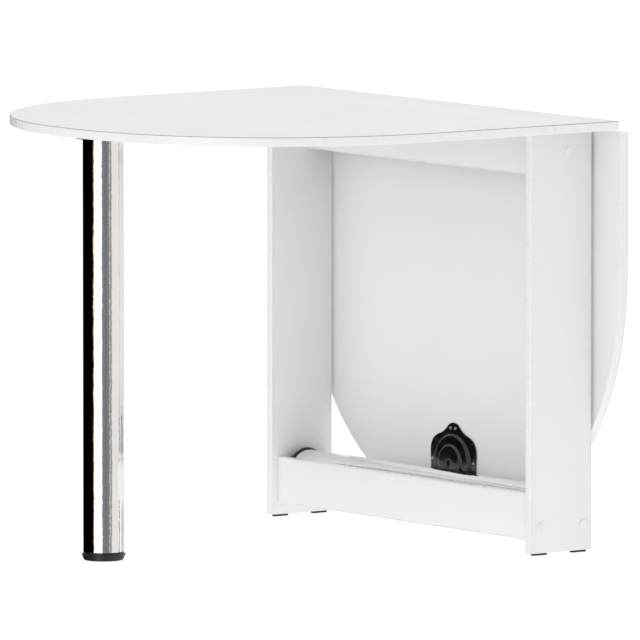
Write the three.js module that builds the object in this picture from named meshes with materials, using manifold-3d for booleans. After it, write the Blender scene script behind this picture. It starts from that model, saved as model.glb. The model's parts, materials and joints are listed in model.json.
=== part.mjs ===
// A drop-leaf table: a narrow white base with a fixed top strip, a D-shaped leaf hinged along each
// long edge, and two screw-in tube legs, one fitted under the front leaf and one lying in the tray.
// Millimetres, +Z up, +X to the right, the raised front leaf towards -Y, the hanging one at +Y.

import * as THREE from 'three';
import { mergeVertices } from 'three/addons/utils/BufferGeometryUtils.js';
import Module from 'manifold-3d';

const wasm = await Module();
wasm.setup();

// Driving dimensions.
const TABLE_HEIGHT = 750;
const BOARD = 16;                    // every board is 16 mm melamine-faced chipboard
const GAP = 0.3;                     // clearance between neighbouring pieces
const TOP_WIDTH = 915;
const STRIP_DEPTH = 136.6;
const BASE_WIDTH = 768;
const BASE_FRONT = 65;               // side panels run from here in front of the middle
const BASE_REAR = 67;                // to here behind it
const LEAF_STRAIGHT = 230;           // straight side of a leaf before its rounded end starts
const LEAF_ROUND = 475;              // length of the rounded end
const LEAF_POWER = 2.18;             // exponent of the rounded end's superellipse
const BAND = 2;                      // edge-band thickness
const GLIDE_HEIGHT = 4;
const RAIL_BOTTOM = 25.5;
const RAIL_TOP = 106;
const FRONT_RAIL_Y = -45;            // mid-planes of the three rails
const REAR_RAIL_Y = 49;
const UPPER_RAIL_Y = 16;
const UPPER_RAIL_BOTTOM = 648;
const SHELF_TOP = 44;
const LOWER_SCREW_Z = 49.5;
const UPPER_SCREW_Z = 697;
const LEG_OFFSET = -17;              // the legs stand a little left of the middle
const LEG_REACH = 612;               // from the leaf's hinge axis to the leg's axis
const TUBE_RADIUS = 35;
const TUBE_WALL = 1.2;
const DISC_RADIUS = 38;              // widest part of a leg's foot
const RIDGE_HEIGHT = 8;              // leg plate's ring and round boss below the leaf's underside
const BOSS_HEIGHT = 13;
const STUD_RADIUS = 5.1;
const STUD_LENGTH = 12;              // how far the stud stands out of its plug
const ROUND = 32;                    // sides of a large round piece
const SMALL_ROUND = 14;              // sides of a screw

// Sizes worked out from them.
const UNDERSIDE = TABLE_HEIGHT - BOARD;
const HALF_TOP = TOP_WIDTH / 2;
const HALF_BASE = BASE_WIDTH / 2;
const PANEL_INSIDE = HALF_BASE - BOARD;
const HINGE_DROP = 4;                // hinge axis below the underside of the top
const HINGE_Y = STRIP_DEPTH / 2 + 0.2;
const HINGE_Z = UNDERSIDE - HINGE_DROP;
const KNUCKLE_RADIUS = 3;
const TRAY_Y = (FRONT_RAIL_Y + REAR_RAIL_Y) / 2;
const TUBE_END = UNDERSIDE - GAP - RIDGE_HEIGHT - GAP;   // the tube's rim meets the ring
const PLUG_END = UNDERSIDE - GAP - BOSS_HEIGHT - GAP;    // the boss enters the tube, down to its plug
const LEG_TILT = Math.atan((DISC_RADIUS - TUBE_RADIUS) / TUBE_END);   // of a leg lying on its foot and its tube

const white = (roughness = 0.45) => new THREE.MeshStandardMaterial({ color: 0xeceae6, roughness, metalness: 0 });
const boardWhite = white();
const bandWhite = new THREE.MeshStandardMaterial({ color: 0xf6f6f4, roughness: 0.35, metalness: 0 });
const capWhite = new THREE.MeshStandardMaterial({ color: 0xf4f3ef, roughness: 0.4, metalness: 0 });
const chrome = new THREE.MeshStandardMaterial({ color: 0xd9dbde, roughness: 0.08, metalness: 1 });
const steel = new THREE.MeshStandardMaterial({ color: 0xb9bcc0, roughness: 0.35, metalness: 1 });
const blackSteel = new THREE.MeshStandardMaterial({ color: 0x0e0e0f, roughness: 0.2, metalness: 0.4 });
const blackPlastic = new THREE.MeshStandardMaterial({ color: 0x121213, roughness: 0.5, metalness: 0 });

const table = new THREE.Group();

function addPiece(parent, name, geometry, material) {
  const mesh = new THREE.Mesh(geometry, material);
  mesh.name = name;
  parent.add(mesh);
  return mesh;
}

// Booleans: a geometry goes to a manifold solid and back.
function toSolid(geometry) {
  const bare = geometry.clone();
  bare.deleteAttribute('normal');
  bare.deleteAttribute('uv');
  const merged = mergeVertices(bare, 1e-4);
  return new wasm.Manifold(new wasm.Mesh({
    numProp: 3,
    vertProperties: new Float32Array(merged.attributes.position.array),
    triVerts: new Uint32Array(merged.index.array),
  }));
}

function toGeometry(solid) {
  const mesh = solid.getMesh();
  const geometry = new THREE.BufferGeometry();
  geometry.setAttribute('position', new THREE.BufferAttribute(mesh.vertProperties, 3));
  geometry.setIndex(new THREE.BufferAttribute(mesh.triVerts, 1));
  geometry.computeVertexNormals();
  return geometry;
}

function combine(base, added, removed = []) {
  let solid = toSolid(base);
  for (const geometry of added) solid = solid.add(toSolid(geometry));
  for (const geometry of removed) solid = solid.subtract(toSolid(geometry));
  return toGeometry(solid);
}

// Plain shapes.
function box(x0, x1, y0, y1, z0, z1) {
  const geometry = new THREE.BoxGeometry(x1 - x0, y1 - y0, z1 - z0);
  return geometry.translate((x0 + x1) / 2, (y0 + y1) / 2, (z0 + z1) / 2);
}

function plate(points, z0, z1) {
  const shape = new THREE.Shape(points);
  const geometry = new THREE.ExtrudeGeometry(shape, { depth: z1 - z0, bevelEnabled: false });
  return geometry.translate(0, 0, z0);
}

function cylinderZ(radius, z0, z1, sides, x = 0, y = 0) {
  const geometry = new THREE.CylinderGeometry(radius, radius, z1 - z0, sides);
  return geometry.rotateX(Math.PI / 2).translate(x, y, (z0 + z1) / 2);
}

function cylinderX(radius, x0, x1, sides, y = 0, z = 0) {
  const geometry = new THREE.CylinderGeometry(radius, radius, x1 - x0, sides);
  return geometry.rotateZ(Math.PI / 2).translate((x0 + x1) / 2, y, z);
}

// A turned piece about Z from [radius, height] pairs, starting and ending on the axis or closed.
function turned(profile, sides) {
  const points = profile.map(([radius, height]) => new THREE.Vector2(radius, height));
  return new THREE.LatheGeometry(points, sides).rotateX(Math.PI / 2);
}

// Base: two side panels joined by an upper rail and a tray of two lower rails and a shelf.
const panelScrews = [
  { name: 'lower_front', y: FRONT_RAIL_Y, z: LOWER_SCREW_Z },
  { name: 'lower_rear', y: REAR_RAIL_Y, z: LOWER_SCREW_Z },
  { name: 'upper', y: UPPER_RAIL_Y, z: UPPER_SCREW_Z },
];
const SCREW_SHANK = 2.9;
const SCREW_HEAD = 4.8;
const SCREW_HEAD_LENGTH = 3;
const SCREW_LENGTH = 50;

function addSidePanel(side, sign) {
  const outside = sign * HALF_BASE;
  const inside = sign * PANEL_INSIDE;
  const board = box(
    Math.min(outside, inside), Math.max(outside, inside),
    -BASE_FRONT, BASE_REAR, GLIDE_HEIGHT, UNDERSIDE - GAP,
  );
  const holes = panelScrews.flatMap(({ y, z }) => {
    const headEnd = sign * (HALF_BASE - SCREW_HEAD_LENGTH - GAP);
    const through = [sign * (PANEL_INSIDE - 1), sign * (HALF_BASE + 1)].sort((a, b) => a - b);
    const sink = [headEnd, sign * (HALF_BASE + 1)].sort((a, b) => a - b);
    return [
      cylinderX(SCREW_SHANK + GAP, ...through, SMALL_ROUND, y, z),
      cylinderX(SCREW_HEAD + GAP, ...sink, SMALL_ROUND, y, z),
    ];
  });
  addPiece(table, `side_panel_${side}`, combine(board, [], holes), boardWhite);
}

function addPanelScrew(side, sign, { name, y, z }) {
  const shank = [[0, 0], [SCREW_SHANK * 0.6, 1.5], [SCREW_SHANK, 5], [SCREW_SHANK, SCREW_LENGTH - SCREW_HEAD_LENGTH]];
  const head = [[SCREW_HEAD, SCREW_LENGTH - SCREW_HEAD_LENGTH], [SCREW_HEAD, SCREW_LENGTH], [0, SCREW_LENGTH]];
  const screw = addPiece(table, `panel_screw_${side}_${name}`, turned([...shank, ...head], SMALL_ROUND), steel);
  screw.rotation.y = sign * Math.PI / 2;
  screw.position.set(sign * (HALF_BASE - GAP - SCREW_LENGTH), y, z);

  const capProfile = [[0, 0], [7.5, 0], [7.5, 0.7], [6.3, 1.5], [0, 1.7]];
  const cap = addPiece(table, `screw_cap_${side}_${name}`, turned(capProfile, SMALL_ROUND), capWhite);
  cap.rotation.y = sign * Math.PI / 2;
  cap.position.set(sign * (HALF_BASE + GAP), y, z);
}

// A rail runs between the panels, drilled in both ends for its panel screws.
function addRail(name, middle, bottom, top, screwZ) {
  const end = PANEL_INSIDE - GAP;
  const depth = SCREW_LENGTH - BOARD + 2;
  const board = box(-end, end, middle - BOARD / 2, middle + BOARD / 2, bottom, top);
  const holes = [-1, 1].map((sign) => {
    const span = [sign * (end - depth), sign * (end + 1)].sort((a, b) => a - b);
    return cylinderX(SCREW_SHANK + GAP, ...span, SMALL_ROUND, middle, screwZ);
  });
  addPiece(table, name, combine(board, [], holes), boardWhite);
}

function addTrayShelf() {
  const end = PANEL_INSIDE - GAP;
  const front = FRONT_RAIL_Y + BOARD / 2 + GAP;
  const rear = REAR_RAIL_Y - BOARD / 2 - GAP;
  addPiece(table, 'tray_shelf', box(-end, end, front, rear, SHELF_TOP - BOARD, SHELF_TOP), boardWhite);
}

// A glide is a thin nail-on strip with rounded corners.
function addGlides() {
  const length = 31;
  const corner = 2.5;
  const halfWidth = 5;
  const arcs = [[1, 1, 0], [-1, 1, 1], [-1, -1, 2], [1, -1, 3]];
  const outline = arcs.flatMap(([sx, sy, quarter]) => [0, 0.5, 1].map((step) => {
    const angle = (quarter + step) * Math.PI / 2;
    return new THREE.Vector2(
      sx * (halfWidth - corner) + corner * Math.cos(angle),
      sy * (length / 2 - corner) + corner * Math.sin(angle),
    );
  }));
  const places = { front: -BASE_FRONT + 8.5 + length / 2, rear: BASE_REAR - 8 - length / 2 };
  for (const [side, sign] of [['left', -1], ['right', 1]]) {
    for (const [end, y] of Object.entries(places)) {
      const glide = addPiece(table, `glide_${side}_${end}`, plate(outline, 0, GLIDE_HEIGHT - GAP), blackPlastic);
      glide.position.set(sign * (HALF_BASE - BOARD / 2), y, 0);
    }
  }
}

function addTopStrip() {
  const half = HALF_TOP - BAND - GAP;
  const depth = STRIP_DEPTH / 2;
  addPiece(table, 'top_strip', box(-half, half, -depth, depth, UNDERSIDE, TABLE_HEIGHT), boardWhite);
  addPiece(table, 'top_strip_band_left',
    box(-HALF_TOP, -HALF_TOP + BAND, -depth, depth, UNDERSIDE, TABLE_HEIGHT), bandWhite);
  addPiece(table, 'top_strip_band_right',
    box(HALF_TOP - BAND, HALF_TOP, -depth, depth, UNDERSIDE, TABLE_HEIGHT), bandWhite);
}

// Steel angles hold the top strip to the side panels, in front of the upper rail.
function addCornerAngles() {
  const leg = 28;
  const thickness = 2;
  const width = [-42, -8];
  const inside = PANEL_INSIDE - GAP;
  const top = UNDERSIDE - GAP;
  for (const [side, sign] of [['left', -1], ['right', 1]]) {
    const outline = [
      [inside, top], [inside - leg, top], [inside - leg, top - thickness],
      [inside - thickness, top - thickness], [inside - thickness, top - leg], [inside, top - leg],
    ].map(([x, z]) => new THREE.Vector2(sign * x, z));
    const angle = plate(outline, -width[1], -width[0]).rotateX(Math.PI / 2);
    addPiece(table, `corner_angle_${side}`, angle, steel);
  }
}

// Long hinge under each joint: both plates carry every second knuckle of a common pin.
const HINGE_LENGTH = 700;
const KNUCKLES = 11;                 // odd, so a plate turned half round still meshes with its partner
const HINGE_PLATE = 1.2;
const HINGE_PLATE_WIDTH = 22;
const PIN_RADIUS = 1.4;

// The plate lies towards +Y of the axis with its upper face just under the board.
function hingeHalf(firstKnuckle) {
  const pitch = HINGE_LENGTH / KNUCKLES;
  const half = HINGE_LENGTH / 2;
  const top = HINGE_DROP - GAP;
  const flange = box(-half, half, 0.6, HINGE_PLATE_WIDTH, top - HINGE_PLATE, top);
  const own = [];
  const other = [];
  for (let i = 0; i < KNUCKLES; i += 1) {
    const start = -half + i * pitch;
    if (i % 2 === firstKnuckle) {
      own.push(cylinderX(KNUCKLE_RADIUS, start + GAP, start + pitch - GAP, SMALL_ROUND));
    } else {
      const reach = KNUCKLE_RADIUS + 0.6;
      other.push(box(start - GAP, start + pitch + GAP, -reach, reach, -reach, HINGE_DROP));
    }
  }
  const bore = cylinderX(PIN_RADIUS + GAP, -half - 1, half + 1, SMALL_ROUND);
  return combine(flange, own, [...other, bore]);
}

function addFixedHingeParts(leaf, sign) {
  const mount = new THREE.Group();
  mount.position.set(0, sign * HINGE_Y, HINGE_Z);
  table.add(mount);
  const fixed = addPiece(mount, `hinge_${leaf}_fixed_plate`, hingeHalf(0), steel);
  fixed.rotation.z = sign > 0 ? Math.PI : 0;
  const pinLength = HINGE_LENGTH / 2 - 1;
  addPiece(mount, `hinge_${leaf}_pin`, cylinderX(PIN_RADIUS, -pinLength, pinLength, SMALL_ROUND), steel);
}

// Outline of a leaf in its own frame (x along the hinge, y away from it), moved in by `inset`.
const LEAF_START = 0.2;
const LEAF_STEPS = 44;

function leafOutline(inset) {
  const points = [new THREE.Vector2(HALF_TOP - inset, LEAF_START)];
  for (let i = 0; i <= LEAF_STEPS; i += 1) {
    const angle = Math.PI * i / LEAF_STEPS;
    const c = Math.cos(angle);
    const s = Math.sin(angle);
    const bend = 2 / LEAF_POWER;
    const x = HALF_TOP * Math.sign(c) * Math.abs(c) ** bend;
    const y = LEAF_ROUND * Math.abs(s) ** bend;
    const nx = Math.sign(x) * Math.abs(x / HALF_TOP) ** (LEAF_POWER - 1) / HALF_TOP;
    const ny = (y / LEAF_ROUND) ** (LEAF_POWER - 1) / LEAF_ROUND;
    const length = Math.hypot(nx, ny);
    points.push(new THREE.Vector2(x - inset * nx / length, LEAF_STRAIGHT + y - inset * ny / length));
  }
  points.push(new THREE.Vector2(-HALF_TOP + inset, LEAF_START));
  return points;
}

// Screws of the leg plate, from the leg's axis: two in the peak and one each side.
const plateScrews = [
  { name: 'peak_left', x: -7, y: -61 },
  { name: 'peak_right', x: 7, y: -61 },
  { name: 'side_left', x: -59, y: -4 },
  { name: 'side_right', x: 59, y: -4 },
];
const PLATE_SCREW_SHANK = 1.7;
const PLATE_SCREW_HEAD = 3.2;

// Bell outline of the leg plate: a narrow peak towards the hinge, round shoulders, a soft lower edge.
function bellOutline() {
  const right = new THREE.CatmullRomCurve3([
    [0, -70.5], [12, -67.5], [22, -59], [33, -52], [47, -47], [58, -40], [65, -28], [66, -15], [65, 2],
    [64, 24], [57, 44], [38, 56], [0, 60],
  ].map(([x, y]) => new THREE.Vector3(x, y, 0)), false, 'centripetal').getPoints(30);
  const outline = right.map(({ x, y }) => new THREE.Vector2(x, y));
  for (const { x, y } of right.slice(1, -1).reverse()) outline.push(new THREE.Vector2(-x, y));
  return outline;
}

// A round step pressed down from the plate, wider at its base than at its flat end.
function pressing(baseRadius, endRadius, base, end) {
  const geometry = new THREE.CylinderGeometry(baseRadius, endRadius, base - end, ROUND);
  return geometry.rotateX(Math.PI / 2).translate(0, 0, (base + end) / 2);
}

// Pressed steel plate: flange, a ring step, then a round boss with the leg's hole in its middle.
function legPlate() {
  const sheet = 2;
  const under = -GAP;
  const ring = [51.5, 48, under, -RIDGE_HEIGHT];
  const boss = [33.2, 31.3, -RIDGE_HEIGHT + sheet, -BOSS_HEIGHT];
  const hollow = ([base, end, top, bottom]) => pressing(base - sheet, end - sheet, top + 1, bottom + sheet);
  const flange = plate(bellOutline(), under - sheet, under);
  const legHole = cylinderZ(6, -BOSS_HEIGHT - 1, 1, 20);
  const screwHoles = plateScrews.map(({ x, y }) => (
    cylinderZ(PLATE_SCREW_SHANK + GAP, -BOSS_HEIGHT, 1, 10, x, y)));
  return combine(flange, [pressing(...ring), pressing(...boss)], [hollow(ring), hollow(boss), legHole, ...screwHoles]);
}

function plateScrew() {
  const seat = -GAP - 2 - GAP;
  return turned([
    [0, 9], [PLATE_SCREW_SHANK, 7], [PLATE_SCREW_SHANK, seat], [PLATE_SCREW_HEAD, seat],
    [PLATE_SCREW_HEAD * 0.8, seat - 1.4], [0, seat - 2],
  ].reverse(), 10);
}

// A leaf with its edge band, hinge plate and leg plate, as it stands when raised at +Y.
function addLeaf(name, plateX) {
  const leaf = new THREE.Group();
  table.add(leaf);
  const underside = HINGE_DROP;
  const top = HINGE_DROP + BOARD;

  const pilots = plateScrews.map(({ x, y }) => (
    cylinderZ(PLATE_SCREW_SHANK + GAP, underside - 1, underside + 10, 10, plateX + x, LEG_REACH + y)));
  const board = combine(plate(leafOutline(BAND + GAP), underside, top), [], pilots);
  addPiece(leaf, `${name}_board`, board, boardWhite);

  const band = [...leafOutline(0), ...leafOutline(BAND).reverse()];
  addPiece(leaf, `${name}_edge_band`, plate(band, underside, top), bandWhite);
  addPiece(leaf, `hinge_${name}_moving_plate`, hingeHalf(1), steel);

  const fitting = new THREE.Group();
  fitting.position.set(plateX, LEG_REACH, underside);
  leaf.add(fitting);
  addPiece(fitting, `${name}_leg_plate`, legPlate(), blackSteel);
  for (const { name: place, x, y } of plateScrews) {
    const screw = addPiece(fitting, `${name}_plate_screw_${place}`, plateScrew(), steel);
    screw.position.set(x, y, 0);
  }
  return leaf;
}

// A leg along +Z from the floor: tube, head plug with its stud, foot bush and screw foot.
const FOOT_HEIGHT = 11;
const TUBE_START = 14.5;

function addLeg(name) {
  const leg = new THREE.Group();
  table.add(leg);
  const bore = TUBE_RADIUS - TUBE_WALL;
  addPiece(leg, `${name}_tube`, turned([
    [bore, TUBE_START], [TUBE_RADIUS, TUBE_START], [TUBE_RADIUS, TUBE_END], [bore, TUBE_END], [bore, TUBE_START],
  ], ROUND), chrome);

  const plug = bore - GAP;
  const plugLength = 26;
  const boreRadius = STUD_RADIUS + GAP;
  addPiece(leg, `${name}_head_plug`, turned([
    [boreRadius, PLUG_END - plugLength], [plug, PLUG_END - plugLength], [plug, PLUG_END - 1],
    [plug - 1, PLUG_END], [boreRadius, PLUG_END], [boreRadius, PLUG_END - plugLength],
  ], ROUND), blackPlastic);
  addPiece(leg, `${name}_stud`, turned([
    [0, PLUG_END - 30], [STUD_RADIUS, PLUG_END - 30], [STUD_RADIUS, PLUG_END + STUD_LENGTH - 1],
    [STUD_RADIUS - 1, PLUG_END + STUD_LENGTH], [0, PLUG_END + STUD_LENGTH],
  ], 16), steel);
  addPiece(leg, `${name}_foot_bush`, turned([
    [boreRadius, TUBE_START], [plug, TUBE_START], [plug, TUBE_START + 20], [boreRadius, TUBE_START + 20],
    [boreRadius, TUBE_START],
  ], ROUND), blackPlastic);
  addPiece(leg, `${name}_foot`, turned([
    [0, 0], [DISC_RADIUS - 5, 0], [DISC_RADIUS - 4, 1], [DISC_RADIUS, FOOT_HEIGHT - 1],
    [DISC_RADIUS - 1, FOOT_HEIGHT], [TUBE_RADIUS, FOOT_HEIGHT], [TUBE_RADIUS, TUBE_START - GAP],
    [STUD_RADIUS, TUBE_START - GAP], [STUD_RADIUS, TUBE_START + 32], [0, TUBE_START + 32],
  ], ROUND), blackPlastic);
  return leg;
}

// The whole table.
for (const [side, sign] of [['left', -1], ['right', 1]]) {
  addSidePanel(side, sign);
  for (const screw of panelScrews) addPanelScrew(side, sign, screw);
}
addRail('upper_rail', UPPER_RAIL_Y, UPPER_RAIL_BOTTOM, UNDERSIDE - GAP, UPPER_SCREW_Z);
addRail('lower_front_rail', FRONT_RAIL_Y, RAIL_BOTTOM, RAIL_TOP, LOWER_SCREW_Z);
addRail('lower_rear_rail', REAR_RAIL_Y, RAIL_BOTTOM, RAIL_TOP, LOWER_SCREW_Z);
addTrayShelf();
addGlides();
addTopStrip();
addCornerAngles();
addFixedHingeParts('leaf_a', -1);
addFixedHingeParts('leaf_b', 1);

// Leaf A is raised at the front, so it is turned half round; leaf B hangs at the rear.
const leafA = addLeaf('leaf_a', -LEG_OFFSET);
leafA.rotation.z = Math.PI;
leafA.position.set(0, -HINGE_Y, HINGE_Z);
const leafB = addLeaf('leaf_b', LEG_OFFSET);
leafB.rotation.x = -Math.PI / 2;
leafB.position.set(0, HINGE_Y, HINGE_Z);

// Leg A stands under leaf A. Leg B lies in the tray, foot to the left.
const legA = addLeg('leg_a');
legA.position.set(LEG_OFFSET, -HINGE_Y - LEG_REACH, 0);
const legB = addLeg('leg_b');
legB.rotation.y = Math.PI / 2 + LEG_TILT;
legB.position.set(-PANEL_INSIDE + 2.6, TRAY_Y, SHELF_TOP + 1.5 * GAP + DISC_RADIUS);

// The origin is on the floor under the middle of the table's overall box.
const bounds = new THREE.Box3().setFromObject(table);
const origin = bounds.getCenter(new THREE.Vector3());
const part = new THREE.Group();
table.position.set(-origin.x, -origin.y, 0);
part.add(table);

export default part;
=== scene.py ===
"""A white drop-leaf table: one rounded leaf raised on a chrome leg, the other hanging behind the base.

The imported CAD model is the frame, and places come from its nodes and joints. Lengths are in metres,
apart from the tables of points that are marked as millimetres. Fine pieces replace the faceted CAD
ones, and every surface gets a node material.
"""

import json
import math

import bmesh
import bpy
from mathutils import Matrix, Vector


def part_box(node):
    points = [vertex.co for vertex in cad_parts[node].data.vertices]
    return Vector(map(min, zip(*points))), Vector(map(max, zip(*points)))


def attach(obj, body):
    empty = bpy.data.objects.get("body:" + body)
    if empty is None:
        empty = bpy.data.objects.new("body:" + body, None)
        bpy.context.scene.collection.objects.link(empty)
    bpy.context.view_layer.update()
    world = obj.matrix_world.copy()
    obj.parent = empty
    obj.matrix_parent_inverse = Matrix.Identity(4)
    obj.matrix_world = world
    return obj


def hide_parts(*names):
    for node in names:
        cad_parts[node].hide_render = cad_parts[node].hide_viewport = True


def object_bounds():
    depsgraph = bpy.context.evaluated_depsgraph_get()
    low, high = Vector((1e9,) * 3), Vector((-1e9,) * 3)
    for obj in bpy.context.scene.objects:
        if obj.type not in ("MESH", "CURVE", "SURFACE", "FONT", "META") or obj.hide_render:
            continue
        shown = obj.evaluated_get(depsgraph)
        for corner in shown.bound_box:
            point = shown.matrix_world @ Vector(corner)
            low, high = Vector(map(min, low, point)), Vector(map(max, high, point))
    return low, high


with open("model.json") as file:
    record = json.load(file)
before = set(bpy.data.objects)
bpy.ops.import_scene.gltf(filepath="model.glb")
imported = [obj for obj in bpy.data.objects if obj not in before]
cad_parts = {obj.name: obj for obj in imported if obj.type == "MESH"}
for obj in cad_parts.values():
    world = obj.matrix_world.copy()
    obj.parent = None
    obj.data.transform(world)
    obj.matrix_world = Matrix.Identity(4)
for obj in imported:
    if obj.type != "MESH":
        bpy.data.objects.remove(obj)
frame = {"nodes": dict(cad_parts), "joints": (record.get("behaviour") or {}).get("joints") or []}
cad_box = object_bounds()

MM = 0.001
LEAVES = ("leaf_a", "leaf_b")
LEGS = ("leg_a", "leg_b")
SIDES = {"left": -1, "right": 1}

# Sizes that the boxes of the CAD nodes don't give.
LEAF_STRAIGHT = 230 * MM      # straight side of a leaf before its rounded end starts
LEAF_START = 0.2 * MM         # from the hinge axis to the leaf's straight edge
LEAF_POWER = 2.18             # exponent of the rounded end's superellipse
LEAF_STEPS = 150
HINGE_DROP = 4 * MM           # hinge axis below the underside of the boards
BAND = 2 * MM                 # edge band of the top
SEAM = 0.15 * MM              # joint between a board and its edging
TUBE_RADIUS = 35 * MM
ROUND = 96                    # sides of a large round piece

# The studio, seen from the camera.
CAMERA_AZIMUTH = math.radians(53.14)
CAMERA_ELEVATION = math.radians(5.69)
CAMERA_DISTANCE = 26.03
CAMERA_LENS = 841.4
CAMERA_PAN = 0.1861           # the table stands this far right of the picture's middle
CAMERA_DROP = 0.001
TOWARDS_CAMERA = Vector((math.sin(CAMERA_AZIMUTH), -math.cos(CAMERA_AZIMUTH), 0))
CAMERA_RIGHT = Vector((math.cos(CAMERA_AZIMUTH), math.sin(CAMERA_AZIMUTH), 0))


# ---------------------------------------------------------------- materials

class Paint:
    """A Principled material, with short calls for the textures that drive it."""

    def __init__(self, name, **sockets):
        self.material = bpy.data.materials.new(name)
        self.material.use_nodes = True
        self.tree = self.material.node_tree
        self.shader = self.tree.nodes["Principled BSDF"]
        self.place = self.tree.nodes.new("ShaderNodeTexCoord").outputs["Object"]
        for socket, value in sockets.items():
            self.shader.inputs[socket.replace("_", " ")].default_value = value

    def node(self, kind, inputs=(), **settings):
        """A new node, with its settings, and each input linked to a socket or set to a value."""
        node = self.tree.nodes.new(kind)
        for key, value in settings.items():
            setattr(node, key, value)
        for socket, value in dict(inputs).items():
            if isinstance(value, bpy.types.NodeSocket):
                self.tree.links.new(value, node.inputs[socket])
            else:
                node.inputs[socket].default_value = value
        return node

    def stretched(self, x, y, z):
        """The piece's coordinates, scaled by axis, for streaks."""
        return self.node("ShaderNodeMapping", {"Vector": self.place, "Scale": (x, y, z)}).outputs["Vector"]

    def noise(self, size, detail=2.0, roughness=0.5, place=None, distortion=0.0):
        """Noise from 0 to 1 with features of about `size` metres."""
        inputs = {"Vector": place or self.place, "Scale": 1 / size, "Detail": detail,
                  "Roughness": roughness, "Distortion": distortion}
        return self.node("ShaderNodeTexNoise", inputs).outputs["Fac"]

    def spread(self, source, low, high, start=0.3, end=0.7):
        """The source's range from start to end, mapped on to low..high."""
        inputs = {"Value": source, "From Min": start, "From Max": end, "To Min": low, "To Max": high}
        return self.node("ShaderNodeMapRange", inputs).outputs["Result"]

    def mixed(self, share, first, second):
        """The first colour at a share of 0, the second at 1."""
        inputs = {0: share, 6: first, 7: second}
        return self.node("ShaderNodeMix", inputs, data_type="RGBA").outputs[2]

    def bump(self, height, depth, below=None):
        """Bump of `depth` metres, over another bump when `below` is given."""
        inputs = {"Height": height, "Distance": depth, "Strength": 1.0}
        if below is not None:
            inputs["Normal"] = below
        return self.node("ShaderNodeBump", inputs).outputs["Normal"]

    def drive(self, socket, source):
        """Link a source to the shader; calls can be chained."""
        self.tree.links.new(source, self.shader.inputs[socket])
        return self


def rgb(red, green, blue):
    return (red, green, blue, 1.0)


def melamine():
    """Satin white melamine: faint cloudiness, a fine pearl grain and a few polished scuffs."""
    paint = Paint("white_melamine", IOR=1.45)
    cloud = paint.noise(0.35, 3)
    fleck = paint.noise(0.0016, 2, 0.7)
    tone = paint.mixed(paint.spread(cloud, 0, 1), rgb(0.835, 0.832, 0.826), rgb(0.855, 0.853, 0.849))
    colour = paint.mixed(paint.spread(fleck, 0, 0.35, 0.55, 0.8), tone, rgb(0.79, 0.785, 0.775))
    scuff = paint.noise(0.03, 6, 0.65, paint.stretched(1.0, 0.16, 1.0), 0.6)
    satin = paint.spread(paint.noise(0.08, 4), 0.36, 0.46)
    worn = paint.spread(scuff, 0.0, -0.1, 0.62, 0.72)
    roughness = paint.node("ShaderNodeMath", {0: satin, 1: worn}, operation="ADD").outputs["Value"]
    pearl = paint.bump(paint.noise(0.0011, 3, 0.6), 0.000011)
    wave = paint.bump(paint.noise(0.05, 2), 0.00004, pearl)
    paint.drive("Base Color", colour).drive("Roughness", roughness).drive("Normal", wave)
    return paint.material


def edging_plastic():
    """Semi-gloss edging: long trimming streaks and small scraper marks along the strip."""
    paint = Paint("white_edging", IOR=1.5, Coat_Weight=0.25, Coat_Roughness=0.18)
    streak = paint.noise(0.004, 4, 0.6, paint.stretched(0.15, 0.15, 1.0))
    chatter = paint.noise(0.0013, 2, 0.6)
    colour = paint.mixed(paint.spread(streak, 0, 1), rgb(0.845, 0.846, 0.848), rgb(0.862, 0.862, 0.862))
    roughness = paint.spread(paint.noise(0.02, 4), 0.24, 0.36)
    normal = paint.bump(streak, 0.000005, paint.bump(chatter, 0.000002))
    paint.drive("Base Color", colour).drive("Roughness", roughness).drive("Normal", normal)
    return paint.material


def painted_seam_shade():
    """Grey painted shade on the top arris of the edging, where it meets the board."""
    paint = Paint("edging_seam", IOR=1.45)
    # Painted shade: the grey of the seam line, a little uneven along the edge.
    line_noise = paint.noise(0.012, 5, 0.65)
    colour = paint.mixed(paint.spread(line_noise, 0, 1), rgb(0.36, 0.36, 0.355), rgb(0.5, 0.5, 0.49))
    paint.drive("Base Color", colour).drive("Roughness", paint.spread(line_noise, 0.5, 0.7))
    paint.drive("Normal", paint.bump(paint.noise(0.001, 3), 0.00002))
    return paint.material


def cap_plastic():
    """Moulded white screw caps, a touch warmer than the boards, with a matt eroded skin."""
    paint = Paint("white_cap_plastic", IOR=1.5)
    cloud = paint.noise(0.004, 3)
    colour = paint.mixed(paint.spread(cloud, 0, 1), rgb(0.83, 0.825, 0.81), rgb(0.87, 0.865, 0.855))
    paint.drive("Base Color", colour).drive("Roughness", paint.spread(cloud, 0.3, 0.44))
    paint.drive("Normal", paint.bump(paint.noise(0.0007, 2), 0.000012))
    return paint.material


def chrome():
    """Chrome on rolled tube: slow waves and fine ripples in the mirror, hazy smudges, few pits."""
    paint = Paint("polished_chrome", Metallic=1.0)
    haze = paint.noise(0.05, 5, 0.6)
    pit = paint.noise(0.0022, 2, 0.5)
    tint = paint.mixed(paint.spread(haze, 0, 1), rgb(0.93, 0.935, 0.94), rgb(0.97, 0.97, 0.965))
    colour = paint.mixed(paint.spread(pit, 0, 0.5, 0.74, 0.8), tint, rgb(0.3, 0.27, 0.24))
    roughness = paint.spread(haze, 0.02, 0.075)
    ripple = paint.bump(paint.noise(0.008, 3, 0.55), 0.00022)
    wave = paint.bump(paint.noise(0.035, 2, 0.5, paint.stretched(1.0, 1.0, 0.8)), 0.0007, ripple)
    paint.drive("Base Color", colour).drive("Roughness", roughness).drive("Normal", wave)
    return paint.material


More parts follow.
